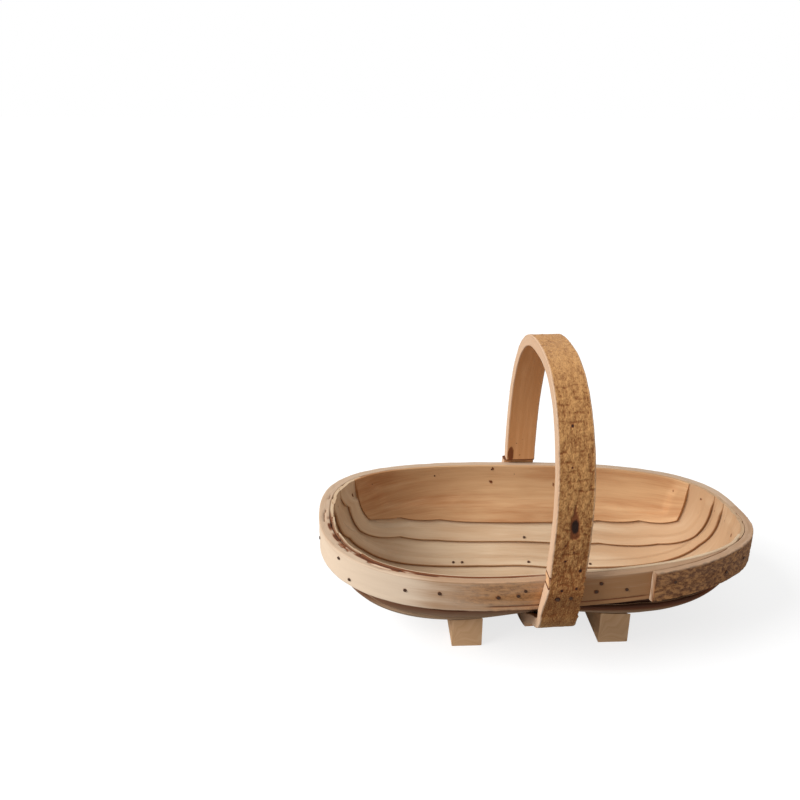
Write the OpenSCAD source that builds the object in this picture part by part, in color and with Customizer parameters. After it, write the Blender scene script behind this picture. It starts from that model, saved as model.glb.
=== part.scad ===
// Garden trug: a shallow oval basket of thin overlapping boards held in a bent rim hoop, with a
// second bent hoop passing under the hull and over the top as the handle, on two cross feet.
// Millimetres. X runs along the basket, Y across it, Z up. The feet stand on Z = 0 and the
// middle of the rim is at X = 0, Y = 0.

/* [Rim hoop] */
// Half of the rim's length over its outer faces
rim_half_length = 175; // [150:1:200]
// Half of the rim's width over its outer faces
rim_half_width = 97.1; // [85:0.1:110]
// Height of the rim's top edge at the middle of the basket
rim_top = 87.5; // [78:0.5:98]
// Height of the rim strip
rim_height = 24.6; // [18:0.2:28]
// Thickness of the rim strip
rim_thickness = 6; // [5:0.1:7]
// Extra thickness of the rim at the left end
rim_left_extra = 2.5; // [0:0.1:3]
// How square the left end is in plan: 2 is an ellipse
plan_square_left = 2.5; // [2.2:0.05:3]
// How square the right end is in plan
plan_square_right = 2.85; // [2.3:0.05:3.2]
// Rise of the rim at the left end
sheer_left = 8.5; // [0:0.5:14]
// Rise and fall of the corners from the twist in the bent rim
rim_twist = 6.9; // [0:0.1:9]
// Sideways drift of the plan for each unit of length
plan_skew = 0.027; // [0:0.001:0.05]
// Angle in plan of the rim strip's visible outer end
rim_lap_start = 285.5; // [283:0.5:296]
// Angle over which the two ends of the rim strip overlap
rim_lap_angle = 31; // [24:1:36]
// Thickness of the outer end of the rim strip
rim_lap_end = 4; // [3:0.1:4.5]

/* [Hull boards] */
// Thickness of every board
board_thickness = 2.5; // [2:0.1:3]
// Height of the hull's underside above the ground
hull_bottom = 14; // [13:0.5:18]
// How far neighbouring boards overlap
board_lap = 7; // [6:0.25:8]
// Fullness of the ends along the floor
end_floor = 4.6; // [3.5:0.1:5.5]
// Roundness of the ends up the wall
end_wall = 2.8; // [2.2:0.1:3.4]
// Fullness of the sides along the floor
side_floor = 2; // [1.8:0.05:2.4]
// Roundness of the sides up the wall
side_wall = 2.2; // [1.9:0.05:2.6]
// Share by which the handle hoop squeezes the hull
hoop_pinch = 0.08; // [0:0.01:0.16]
// Width of the lower boards between their seams, at mid length
lower_width = 27; // [25:0.5:29]
// Width of the middle boards between their seams, at mid length
middle_width = 16; // [15:0.5:18]
// Width of the side boards in plan from their seam to the rim's inner face, at mid length
side_width = 20.6; // [19:0.1:24]

/* [Handle hoop] */
// Lengthwise position of the handle's middle
handle_x = 7.35; // [-10:0.05:15]
// Width of the handle strip at the top of the arch
handle_width = 25; // [20:0.5:28]
// Width of its legs
leg_width = 26.5; // [20:0.5:29]
// Extra width of the legs beside the rim, all on the left
leg_extra = 2; // [0:0.1:3]
// Width of its tails at the hull's bottom
tail_width = 22; // [18:0.5:26]
// Thickness of the handle strip at the top of the arch
handle_thickness = 9; // [6:0.1:10]
// Thickness of its legs just above the rim
leg_thickness = 10.8; // [8:0.1:12]
// Thickness of its tails, from the shoulder above the rim down
tail_thickness = 7.4; // [6:0.1:7.5]
// Height of the shoulder above the rim's top edge
shoulder_rise = 3; // [1:0.5:5]
// Swelling of the front leg's outer face beside the rim
leg_swell = 3.4; // [0:0.1:4]
// Thickness of the outer tail where it lies on the inner one
outer_tail_thickness = 4.2; // [3.5:0.1:5.5]
// Height of the top of the arch
handle_top = 234.7; // [200:0.5:260]
// Height from which the arch springs
arch_spring = 83; // [76:0.5:86]
// How square the arch is: 2 is an ellipse
arch_square = 2.49; // [2:0.01:3]
// Sideways lean of the front leg at the rim's lower edge
leg_lean = 6; // [0:0.1:8]
// Sideways lean of the tails at the hull's bottom
tail_lean = 7.8; // [0:0.1:12]
// Height from which the front leg leans
lean_from = 175; // [120:1:190]
// Angle up the hull at which the tails leave it for the rim
tail_leave = 45; // [40:1:52]
// Angle past the bottom where the inner tail ends
inner_tail_end = 20; // [14:1:24]
// Angle past the bottom where the outer tail ends
outer_tail_end = 31; // [30:1:42]

/* [Feet] */
// Width of a foot along the basket
foot_width = 24; // [16:0.5:30]
// Length of a foot across the basket
foot_length = 113; // [90:1:120]
// Position of the left foot along the basket
foot_left_x = -58.5; // [-70:0.5:-48]
// Position of the right foot along the basket
foot_right_x = 59.4; // [48:0.2:70]

/* [Nails] */
// Diameter of a nail's shank
nail_shank = 1.4; // [1:0.1:1.8]
// Diameter of a nail's head
nail_head = 2.4; // [2:0.1:4]
// Thickness of a nail's head
nail_head_height = 0.6; // [0.4:0.1:1]
// How far a nail's point stands out of the wood inside the basket
nail_point = 0.4; // [0.2:0.1:0.6]

/* [Fits] */
// Gap between a hoop or a foot and the boards it holds
fit_gap = 0.3; // [0.2:0.05:0.5]
// Gap between two overlapping boards
board_gap = 0.5; // [0.4:0.05:0.7]

/* [Hidden] */

// Steps between sections along a board, round the rim and over the arch
board_steps = 36;
side_board_steps = 30;
rim_steps = 100;
arch_steps = 34;

// How far inside the neighbouring board's outer face an overlapping board lies
layer = board_thickness + board_gap;
// Length of the boards' bend from the inner layer to the outer one
board_bend = 7;
// Reach of the squeeze along the basket
pinch_reach = 45;
// Height lost below the rim before the tails bend inward, and the reach of that bend
rim_clear = 1.5;
bend_reach = 24;
rim_bottom = rim_top - rim_height;
// Heights of the legs' shoulder and of the front leg's thickest place
shoulder = rim_top + shoulder_rise;
swell_height = rim_top - 5.5;
// Distance of the handle's outer faces from the centre line
handle_half = rim_half_width + fit_gap + tail_thickness;
// Distances of the three seams from the centre line at mid length, counted in from the rim
half_width = rim_half_width - rim_thickness;
side_seam = half_width - side_width;
middle_seam = side_seam - middle_width;
centre_seam = middle_seam - lower_width;
// Course of each seam: share of the boards' length, then share of its distance at mid length
side_course = [[-1, 0.716], [-0.993, 0.794], [-0.945, 0.797], [-0.84, 0.95], [-0.6, 1.02], [0, 1],
    [0.6, 1], [0.825, 0.908], [0.942, 0.688], [0.992, 0.73], [1, 0.695]];
middle_course = [[-1, 0.587], [-0.993, 0.761], [-0.937, 0.771], [-0.755, 1.018], [-0.52, 1.051],
    [0, 1], [0.5, 0.949], [0.795, 0.716], [0.937, 0.45], [1, 0.404]];
centre_course = [[-1, 0.364], [-0.992, 0.564], [-0.952, 0.982], [-0.88, 1.091], [-0.57, 1.113],
    [-0.24, 1.105], [0, 1], [0.8, 0.553], [0.933, 0.455], [0.992, 0.236], [1, 0.218]];

// Ends of the side boards: at the seam as shares of its length, and at the rim of the half-length
side_foot_left = -0.945;
side_foot_right = 0.942;
side_head_left = -0.895;
side_head_right = 0.925;

wood_pale = [0.83, 0.72, 0.55];
wood_warm = [0.72, 0.53, 0.35];
steel = [0.45, 0.44, 0.42];

// Superellipse exponent of the plan on each half
function squareness(p) = p < 0 ? plan_square_left : plan_square_right;

// 0 at the middle of the plan and 1 on its outline, for shares p and q of the half-axes
function gauge(p, q) =
    let (n = squareness(p))
    pow(pow(abs(p), n) + pow(abs(q), n), 1 / n);

// Share of the half-width left at a share q of the other half-axis
function outline(p, q) = pow(max(0, 1 - pow(abs(q), squareness(p))), 1 / squareness(p));

// Height of the rim's top edge in the direction p, q on the outline
function rim_z(p, q) =
    rim_top + (p < 0 ? sheer_left * pow(-p, 3.1) : 0) - rim_twist * p * q;

// Half of the length inside the rim, on the side of p
function half_length(p) = rim_half_length - rim_thickness - (p < 0 ? rim_left_extra : 0);

function skewed(v) = [v[0], v[1] + plan_skew * v[0], v[2]];

// Point of the hull at shares p, q of its half-axes, a depth inside the rim's inner face
function hull_raw(p, q, depth) =
    let (
        r = max(0.0001, min(1, gauge(p, q))),
        a = half_length(p) - depth,
        b = rim_half_width - rim_thickness - depth,
        w = pow(p / r, 2),
        floor_power = end_floor * w + side_floor * (1 - w),
        wall_power = end_wall * w + side_wall * (1 - w),
        g = pow(1 - pow(r, floor_power), 1 / wall_power),
        top = rim_z(p / r, q / r),
        squeeze = 1 - hoop_pinch * exp(-pow(p * a / pinch_reach, 2)) * g
    )
    [p * a, q * b * squeeze, top - (top - hull_bottom - depth) * g];

function hull_at(p, q, depth) = skewed(hull_raw(p, q, depth));

function unit(v) = v / norm(v);

// Outward normal of the hull
function hull_normal(p, q, depth) =
    let (
        along = hull_at(p + 0.01, q, depth) - hull_at(p - 0.01, q, depth),
        over = hull_at(p, q + 0.01, depth) - hull_at(p, q - 0.01, depth)
    )
    unit(cross(over, along));

// Distances of the seams from the centre line at a share s of the board's length
function seam_c(s) = centre_seam * lookup(s, centre_course);
function seam_b(s) = middle_seam * lookup(s, middle_course);
function seam_a(s) = side_seam * lookup(s, side_course);

// Closed skin between two grids of points with rows toward +Y and columns toward +X
module skin(outer, inner, mirrored) {
    m = len(outer);
    n = len(outer[0]);
    k = m * n;
    cells = [for (i = [0:m - 2], j = [0:n - 2]) i * n + j];
    faces = concat(
        [for (a = cells) each [[a, a + 1, a + n + 1], [a, a + n + 1, a + n]]],
        [for (a = cells) each [[a + k + n + 1, a + k + 1, a + k], [a + k + n, a + k + n + 1, a + k]]],
        [for (a = [0:n - 2]) each [[a, a + k, a + k + 1], [a, a + k + 1, a + 1]]],
        [for (a = [k - n:k - 2]) each [[a + k + 1, a + k, a], [a + 1, a + k + 1, a]]],
        [for (a = [0:n:k - n - 1]) each [[a + n, a + n + k, a + k], [a + n, a + k, a]]],
        [for (a = [n - 1:n:k - n - 1]) each [[a + k, a + n + k, a + n], [a, a + k, a + n]]]);
    polyhedron(
        points = concat([for (row = outer) each row], [for (row = inner) each row]),
        faces = mirrored ? [for (f = faces) [f[2], f[1], f[0]]] : faces);
}

// Closed strip through four-cornered sections
module strip(rings) {
    n = len(rings);
    faces = concat(
        [for (i = [0:n - 2], j = [0:3]) each [
            [4 * i + j, 4 * i + 4 + j, 4 * i + 4 + (j + 1) % 4],
            [4 * i + j, 4 * i + 4 + (j + 1) % 4, 4 * i + (j + 1) % 4]]],
        [[0, 1, 2], [0, 2, 3]],
        [[4 * n - 2, 4 * n - 3, 4 * n - 4], [4 * n - 1, 4 * n - 2, 4 * n - 4]]);
    polyhedron(points = [for (r = rings) each r], faces = faces);
}

// Share of the board's length at each column, closer together toward the walls
columns = [for (k = [0:board_steps]) sin(180 * k / board_steps - 90)];

// Point of a board whose distance from the centre line is y, at a share s of its length
function board_at(s, y, depth) =
    let (q = y / half_width)
    hull_at(s * outline(s, q), q, depth);

// A board between two seams, with its lower edge inside the board below it
module lapped_board(side, low, high) {
    bend_from = board_lap + 0.5;
    bend_to = bend_from + board_bend;
    function row_y(s, i) =
        i == 0 ? low(s)
        : i < 4 ? low(s) + bend_from + board_bend * (i - 1) / 2
        : i == 4 ? (low(s) + bend_to + high(s) + board_lap) / 2
        : high(s) + board_lap;
    function row_depth(i) = i < 2 ? layer : i == 2 ? layer / 2 : 0;
    function face(extra) = [for (i = [0:5]) [for (s = columns)
        board_at(s, side * row_y(s, i), row_depth(i) + extra)]];
    skin(face(fit_gap), face(fit_gap + board_thickness), side < 0);
}

// Shares p, q of the half-axes on the side seam at a share s of its length
function side_low(s) =
    let (q = seam_a(s) / half_width)
    [s * outline(s, q), q];

// Depth of a side board: inside the middle board where it overlaps it, then against the rim
function side_depth(p, q) =
    let (
        s = max(-1, min(1, p / max(0.001, outline(p, q)))),
        up = q * half_width - seam_a(s)
    )
    layer * max(0, min(1, (board_lap + 0.5 + board_bend - up) / board_bend));

// A board from seam A to the rim's top edge
module side_board(side) {
    shares = [for (k = [0:side_board_steps]) sin(150 * k / side_board_steps - 75) / sin(75)];
    function low(c) = side_low(abs(c) * (c < 0 ? side_foot_left : side_foot_right));
    function high(c) =
        let (p = abs(c) * (c < 0 ? side_head_left : side_head_right))
        [p, outline(p, p)];
    function spot(c, v) = low(c) + (high(c) - low(c)) * sin(90 * v);
    function face(extra) = [for (i = [0:7]) [for (c = shares)
        let (m = spot(c, i / 7))
        hull_at(m[0], side * m[1], side_depth(m[0], m[1]) + extra)]];
    skin(face(fit_gap), face(fit_gap + board_thickness), side < 0);
}

// Shares p, q of the rim's outline at an angle
function round_rim(angle) =
    let (n = squareness(cos(angle)))
    [sign(cos(angle)) * pow(abs(cos(angle)), 2 / n),
     sign(sin(angle)) * pow(abs(sin(angle)), 2 / n)];

// Point of the rim at an angle, a depth inside its outer face and a drop below its top edge
function rim_at(angle, depth, drop) =
    let (
        m = round_rim(angle),
        end_depth = m[0] < 0 ? depth * (1 + rim_left_extra / rim_thickness) : depth
    )
    skewed([(rim_half_length - end_depth) * m[0], (rim_half_width - depth) * m[1],
        rim_z(m[0], m[1]) - drop]);

function rim_ring(angle, outer, inner) =
    [rim_at(angle, outer, rim_height), rim_at(angle, inner, rim_height),
     rim_at(angle, inner, 0), rim_at(angle, outer, 0)];

// Depth of the outer face of the covered end, at a share f of the overlap
function covered_depth(f) = (rim_thickness - 0.6) * f;

function rim_section(turn) =
    let (f = turn / rim_lap_angle, g = (turn - 360) / rim_lap_angle)
    turn <= rim_lap_angle
    ? rim_ring(rim_lap_start + turn, -(rim_lap_end + fit_gap) * (1 - f), covered_depth(f) - fit_gap)
    : rim_ring(rim_lap_start + turn, g > 0 ? covered_depth(g) : 0, rim_thickness);

module rim_strip() {
    strip(concat(
        [for (k = [0:rim_steps - 1]) rim_section(360 * k / rim_steps)],
        [for (k = [0:8]) rim_section(360 + rim_lap_angle * k / 8)]));
}

// 0 above the height `high` and 1 below the height `low`
function fall(z, high, low) = max(0, min(1, (high - z) / (high - low)));

// Shift of the handle strip to the left at a height, on the front or the back side
function lean(side, z) = side < 0
    ? leg_lean * pow(fall(z, lean_from, rim_bottom), 1.7)
        + (tail_lean - leg_lean) * fall(z, rim_bottom, hull_bottom)
    : tail_lean * fall(z, rim_top, hull_bottom);

// Left and right edges of the handle strip at a height
function strip_half(z) =
    handle_width / 2 + (leg_width - handle_width) / 2 * fall(z, handle_top, lean_from)
    - (leg_width - tail_width) / 2 * fall(z, rim_bottom, hull_bottom);
function left_x(side, z) = handle_x - strip_half(z) - lean(side, z) - leg_extra
    * fall(z, shoulder + 0.3, side < 0 ? rim_bottom : shoulder) * (1 - fall(z, rim_bottom, hull_bottom));
function right_x(side, z) = handle_x + strip_half(z) - lean(side, z);

// Swelling of the front leg's outer face at a height
function swell(side, z) = side < 0 ? leg_swell * exp(-pow((z - swell_height) / 12, 2)) : 0;

// Place in the Y-Z plane on the hull at angle t, at the height x, a distance off the hull
function under(side, x, t, off) =
    hull_raw(x / (half_length(x) + off), side * sin(t), -off);
function under_normal(side, x, t) =
    let (d = under(side, x, t + 1, 0) - under(side, x, t - 1, 0))
    side * [0, d[2], -d[1]] / norm([d[1], d[2]]);

// Section of a tail lying against the hull, a distance off it
function tail_ring(side, t, off, thick) =
    let (
        z = under(side, 0, t, 0)[2],
        left = left_x(side, z),
        right = right_x(side, z),
        corner = function (x, out) skewed(under(side, x, t, off) + out * under_normal(side, x, t))
    )
    [corner(left, thick), corner(right, thick), corner(right, 0), corner(left, 0)];

// Section from a place and an outward direction in the Y-Z plane
function leg_ring(side, inner, out, thick) =
    let (
        outer = inner + (thick + swell(side, inner[2])) * out,
        x = [left_x(side, inner[2]), right_x(side, inner[2])]
    )
    [skewed([x[0], outer[1], outer[2]]), skewed([x[1], outer[1], outer[2]]),
     skewed([x[1], inner[1], inner[2]]), skewed([x[0], inner[1], inner[2]])];

// Path of the inner face from the hull up to the rim's lower edge, f from 0 to 1
function bend_points(side) =
    let (
        x = handle_x - lean(side, rim_bottom / 2),
        foot = under(side, x, tail_leave, fit_gap),
        rise = unit(under(side, x, tail_leave + 1, fit_gap) - foot),
        head = [0, side * (rim_half_width + fit_gap), rim_bottom - rim_clear]
    )
    [foot, foot + bend_reach * rise, head - [0, 0, bend_reach / 2], head];
function bezier(b, f) =
    pow(1 - f, 3) * b[0] + 3 * f * pow(1 - f, 2) * b[1] + 3 * f * f * (1 - f) * b[2]
    + pow(f, 3) * b[3];
function bend_ring(side, f) =
    let (
        b = bend_points(side),
        d = bezier(b, f + 0.01) - bezier(b, f - 0.01),
        out = side * [0, d[2], -d[1]] / norm([d[1], d[2]])
    )
    leg_ring(side, bezier(b, f), out, tail_thickness);

// Sections of a leg beside the rim, up to the shoulder above its top edge
function leg_rings(side) =
    let (
        y = side * (rim_half_width + fit_gap),
        out = [0, side, 0],
        from = rim_bottom - rim_clear
    )
    [for (f = [0.3, 0.55, 0.8, 1])
        leg_ring(side, [0, y, from + f * (shoulder - from)], out, tail_thickness),
     leg_ring(side, [0, side * (handle_half - leg_thickness), shoulder + 0.3], out, leg_thickness)];

// Place on the arch's outer face at an angle above its spring, and the section there
function arch_point(side, t) =
    [0, side * handle_half * pow(cos(t), 2 / arch_square),
     arch_spring + (handle_top - arch_spring) * pow(sin(t), 2 / arch_square)];
function arch_ring(side, t) =
    let (
        outer = arch_point(side, t),
        ahead = t > 89 ? [0, 0, 1] : arch_point(side, t + 0.5) - arch_point(side, t - 0.5),
        out = t > 89 ? ahead : side * [0, ahead[2], -ahead[1]] / norm(ahead),
        thick = handle_thickness
            + (leg_thickness - handle_thickness) * fall(outer[2], handle_top, shoulder)
    )
    leg_ring(side, outer - thick * out, out, thick);

// 0 where the outer tail lies on the hull and 1 where it rides on the inner tail
function ride(t) = max(0, min(1, (inner_tail_end + 12 - t) / 9));

module hoop_strip() {
    low = [for (t = [-inner_tail_end:6.5:tail_leave - 1])
        tail_ring(-1, t, fit_gap, tail_thickness)];
    near_bend = [for (f = [0:0.2:1]) bend_ring(-1, f)];
    near_arch = [for (k = [1:arch_steps / 2]) arch_ring(-1, 180 * k / arch_steps)];
    far_arch = [for (k = [arch_steps / 2 - 1:-1:1]) arch_ring(1, 180 * k / arch_steps)];
    far_bend = [for (f = [1:-0.2:0]) bend_ring(1, max(0, f))];
    far_low = [for (t = [tail_leave - 4:-5:-outer_tail_end])
        tail_ring(1, t, fit_gap + (fit_gap + tail_thickness) * ride(t),
            tail_thickness + (outer_tail_thickness - tail_thickness) * ride(t))];
    far_leg = leg_rings(1);
    strip(concat(low, near_bend, leg_rings(-1), near_arch, far_arch,
        [for (k = [1:len(far_leg)]) far_leg[len(far_leg) - k]], far_bend, far_low));
}

// A nail whose head rests on `spot` and whose shank runs `reach` against the direction `out`
module along(spot, out) {
    translate(spot) rotate([0, acos(out[2]), atan2(out[1], out[0])]) children();
}
module nail(n) {
    along(n[0], n[1]) {
        translate([0, 0, -n[2]]) cylinder(d = nail_shank, h = n[2] + 0.2, $fn = 24);
        cylinder(d = nail_head, h = nail_head_height, $fn = 24);
    }
}
module bores(list) {
    for (n = list) {
        along(n[0], n[1]) translate([0, 0, -n[2]]) cylinder(d = nail_shank, h = n[2] + 2, $fn = 24);
    }
}

// Nail through the rim strip from outside: angle, share of the height, lift off the face, reach
function rim_nail(angle, share, lift, reach) =
    let (
        drop = share * rim_height,
        d = rim_at(angle + 0.5, 0, drop) - rim_at(angle - 0.5, 0, drop),
        extra = rim_left_extra * pow(max(0, -round_rim(angle)[0]), 3.6)
    )
    [rim_at(angle, -lift, drop), unit([d[1], -d[0], 0]), reach + lift + extra];

// Nail through the boards from inside the basket: place as x and y, depth it enters, reach
function hull_nail(x, y, depth, reach) =
    let (
        p = x / half_length(x),
        q = y / half_width
    )
    [hull_at(p, q, depth + 0.05), -hull_normal(p, q, depth), reach];

// Space left under a nail's head, and the grip of a nail in a foot
head_lift = 0.05;
foot_grip = 11;
through_rim = rim_thickness + fit_gap + board_thickness + nail_point;
side_front_nails = [for (n = [[214, 0.77], [236, 0.47], [246, 0.43], [260, 0.52], [265.3, 0.33],
    [264, 0.49], [275, 0.26], [274.3, 0.53], [280, 0.55], [325, 0.49]])
    rim_nail(n[0], n[1], head_lift, through_rim + 0.6)];
side_back_nails = [for (n = [[35, 0.43], [82.8, 0.7], [94, 0.13], [94.5, 0.62], [110.5, 0.34],
    [137.5, 0.37]]) rim_nail(n[0], n[1], head_lift, through_rim + 0.6)];
left_nails = [for (n = [[153, 0.54], [168.5, 0.51], [187, 0.53], [208, 0.25]])
    rim_nail(n[0], n[1], head_lift, through_rim + 0.4)];
right_nails = [for (n = [[-10, 0.61], [-0.2, 0.56], [4.5, 0.44], [17.5, 0.41]])
    rim_nail(n[0], n[1], head_lift, through_rim + 0.4)];
lap_nails = [for (n = [[5.5, 0.41], [27, 0.64]])
    rim_nail(rim_lap_start + n[0], n[1],
        (rim_lap_end + fit_gap) * (1 - n[0] / rim_lap_angle) + head_lift, through_rim)];
leg_reach = tail_thickness + fit_gap + through_rim + 0.8;
leg_front_nails = [for (n = [[-0.41, 0.39], [-0.03, 0.35]])
    let (z = rim_top - n[1] * rim_height, out = swell(-1, z) + 0.15)
    [skewed([handle_x + n[0] * handle_width, -handle_half - out, z]), [0, -1, 0], leg_reach + out]];
leg_back_nails = [for (n = [[-0.25, 0.33], [0.16, 0.46]])
    [skewed([handle_x + n[0] * handle_width, handle_half + head_lift, rim_top - n[1] * rim_height]),
        [0, 1, 0], leg_reach]];
lap_thickness = tail_thickness + outer_tail_thickness;
lap_face = 2 * fit_gap + lap_thickness + head_lift;
tail_x = handle_x - tail_lean;
hoop_lap_nails = [for (n = [[-0.04, 0.15], [0.08, -0.15], [-0.08, -0.42]])
    let (p = (tail_x + n[0] * tail_width) / rim_half_length)
    [hull_at(p, n[1], -lap_face), hull_normal(p, n[1], 0), lap_thickness - 0.5]];
double_depth = fit_gap + layer + board_thickness;
// Middle of the overlap of two boards at a place along the basket
function lap_c(x) = seam_c(x / rim_half_length) + board_lap / 2;
function lap_b(x) = seam_b(x / rim_half_length) + board_lap / 2;
hoop_nail_x = tail_x + tail_width * 0.31;
board_hoop_nails = [for (side = [-1, 1], y = [lap_c(hoop_nail_x), lap_b(hoop_nail_x)])
    hull_nail(hoop_nail_x, side * y, double_depth, double_depth + fit_gap + 3)];
function foot_nails(foot_x) = [for (side = [-1, 1], share = [-0.17, 0.17])
    let (x = foot_x + share * foot_width)
    hull_nail(x, side * lap_c(x), double_depth, double_depth + fit_gap + foot_grip)];
left_foot_nails = foot_nails(foot_left_x);
right_foot_nails = foot_nails(foot_right_x);
floor_nails = concat(board_hoop_nails, left_foot_nails, right_foot_nails);
side_nails = concat(side_front_nails, side_back_nails);
rim_board_nails = concat(side_nails, left_nails, right_nails, lap_nails);

module rim_hoop() {
    color(wood_warm) difference() {
        rim_strip();
        bores(concat(rim_board_nails, leg_front_nails, leg_back_nails));
    }
}

module handle_hoop() {
    color(wood_pale) difference() {
        hoop_strip();
        bores(concat(leg_front_nails, leg_back_nails, hoop_lap_nails, board_hoop_nails));
    }
}

module centre_board() {
    function face(extra) = [for (f = [-2, -1, -0.5, 0, 0.5, 1, 2]) [for (s = columns)
        board_at(s, sign(f) * (abs(f) > 1 ? seam_c(s) + board_lap : abs(f) * seam_c(s)), extra)]];
    color(wood_pale) difference() {
        skin(face(fit_gap), face(fit_gap + board_thickness), false);
        bores(concat(floor_nails, left_nails, right_nails));
    }
}

module lower_board(side) {
    color(wood_pale) difference() {
        lapped_board(side, function (s) seam_c(s), function (s) seam_b(s));
        bores(concat(floor_nails, left_nails, right_nails));
    }
}
module lower_board_front() {
    lower_board(-1);
}
module lower_board_back() {
    lower_board(1);
}

module middle_board(side) {
    color(wood_warm) difference() {
        lapped_board(side, function (s) seam_b(s), function (s) seam_a(s));
        bores(concat(board_hoop_nails, left_nails, right_nails, side_nails));
    }
}
module middle_board_front() {
    middle_board(-1);
}
module middle_board_back() {
    middle_board(1);
}

module side_board_front() {
    color(wood_warm) difference() {
        side_board(-1);
        bores(concat(side_front_nails, leg_front_nails, lap_nails, left_nails, right_nails));
    }
}
module side_board_back() {
    color(wood_warm) difference() {
        side_board(1);
        bores(concat(side_back_nails, leg_back_nails, left_nails, right_nails));
    }
}

// A squared bar whose top is scribed to the hull
module foot(x) {
    reach = 0.75;
    across = [for (k = [-9:9]) reach * k / 9];
    lengthwise = [for (k = [-2:2]) (x + k * foot_width * 0.3) / half_length(x)];
    face = [for (q = across) [for (p = lengthwise) hull_at(p, q, -fit_gap)]];
    roof = [for (row = face) [for (v = row) [v[0], v[1], rim_top]]];
    color(wood_pale) difference() {
        translate([x - foot_width / 2, -foot_length / 2, 0])
            cube([foot_width, foot_length, hull_bottom + foot_width]);
        skin(face, roof, false);
        bores(x < 0 ? left_foot_nails : right_foot_nails);
    }
}
module foot_left() {
    foot(foot_left_x);
}
module foot_right() {
    foot(foot_right_x);
}

module nails(list) {
    color(steel) for (n = list) {
        nail(n);
    }
}
module rim_lap_nails() {
    nails(lap_nails);
}
module handle_rim_nails_front() {
    nails(leg_front_nails);
}
module handle_rim_nails_back() {
    nails(leg_back_nails);
}
module handle_lap_nails() {
    nails(hoop_lap_nails);
}
module board_handle_nails() {
    nails(board_hoop_nails);
}
module board_rim_nails_left() {
    nails(left_nails);
}
module board_rim_nails_right() {
    nails(right_nails);
}
module side_board_nails_front() {
    nails(side_front_nails);
}
module side_board_nails_back() {
    nails(side_back_nails);
}
module foot_nails_left() {
    nails(left_foot_nails);
}
module foot_nails_right() {
    nails(right_foot_nails);
}

rim_hoop();
handle_hoop();
centre_board();
lower_board_front();
lower_board_back();
middle_board_front();
middle_board_back();
side_board_front();
side_board_back();
foot_left();
foot_right();
rim_lap_nails();
handle_rim_nails_front();
handle_rim_nails_back();
handle_lap_nails();
board_handle_nails();
board_rim_nails_left();
board_rim_nails_right();
side_board_nails_front();
side_board_nails_back();
foot_nails_left();
foot_nails_right();
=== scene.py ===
import math

import bpy
import numpy as np
from mathutils import Matrix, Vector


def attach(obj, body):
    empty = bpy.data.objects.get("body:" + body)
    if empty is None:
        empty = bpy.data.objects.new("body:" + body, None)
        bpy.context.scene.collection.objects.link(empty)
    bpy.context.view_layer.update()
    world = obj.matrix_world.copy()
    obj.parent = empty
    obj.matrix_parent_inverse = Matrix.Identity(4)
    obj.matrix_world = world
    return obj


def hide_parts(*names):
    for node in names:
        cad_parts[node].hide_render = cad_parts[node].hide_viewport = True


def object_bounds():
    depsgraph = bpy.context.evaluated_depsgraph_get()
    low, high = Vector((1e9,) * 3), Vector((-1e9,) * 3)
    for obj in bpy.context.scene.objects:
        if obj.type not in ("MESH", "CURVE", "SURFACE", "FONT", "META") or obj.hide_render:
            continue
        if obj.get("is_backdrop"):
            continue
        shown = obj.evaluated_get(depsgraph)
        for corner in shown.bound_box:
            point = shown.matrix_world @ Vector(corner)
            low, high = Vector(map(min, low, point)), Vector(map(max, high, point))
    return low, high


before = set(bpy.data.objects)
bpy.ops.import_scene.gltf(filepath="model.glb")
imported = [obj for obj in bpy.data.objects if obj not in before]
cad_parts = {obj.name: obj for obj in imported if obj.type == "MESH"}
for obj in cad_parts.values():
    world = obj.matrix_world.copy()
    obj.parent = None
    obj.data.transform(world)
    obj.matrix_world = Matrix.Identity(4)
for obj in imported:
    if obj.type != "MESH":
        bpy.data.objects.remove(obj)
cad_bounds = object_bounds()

# Rim hoop: one strip, 24.6 mm high and 6 mm thick, bent round the oval mouth. Its outer end lies
# over its own tapered start at the front right. Sizes in this file are in mm until a mesh is made.
# TURN is in degrees along the strip from its start, and THETA in degrees round the plan.
RIM_LONG, RIM_WIDE, RIM_HIGH, RIM_THICK, LEFT_EXTRA = 175.0, 97.1, 24.6, 6.0, 2.5
RIM_TOP, LEFT_RISE, TWIST, SKEW = 87.5, 8.5, 6.9, 0.027
SQUARE_LEFT, SQUARE_RIGHT = 2.5, 2.85
LAP_START, LAP_ANGLE, LAP_END = 285.5, 31.0, 4.0
FIT = 0.3
TORN_TURN, PLAIN_TURN, CRACK_TURN = (-5, 66), (345, 361), (334, 358)
PALE_THETA, SPLIT_THETA, GAP_THETA = (150, 235), (172, 232), (188, 243)
NEAR_THETA, FAR_THETA = (235, 400), (20, 200)


def square(p):
    """Superellipse exponent of the plan: 2.5 on the left half and 2.85 on the right."""
    return np.where(p < 0, SQUARE_LEFT, SQUARE_RIGHT)


def rim_z(p, q):
    """Height of the mouth: its top, plus the rise times |p|^3.1 on the left, less twist p q."""
    return RIM_TOP + np.where(p < 0, LEFT_RISE * np.abs(p) ** 3.1, 0.0) - TWIST * p * q


def place(x, y, z):
    """Points in the row frame, where Y drifts by the skew for each unit of X."""
    return np.stack(np.broadcast_arrays(x, y + SKEW * x, z), -1)


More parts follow.
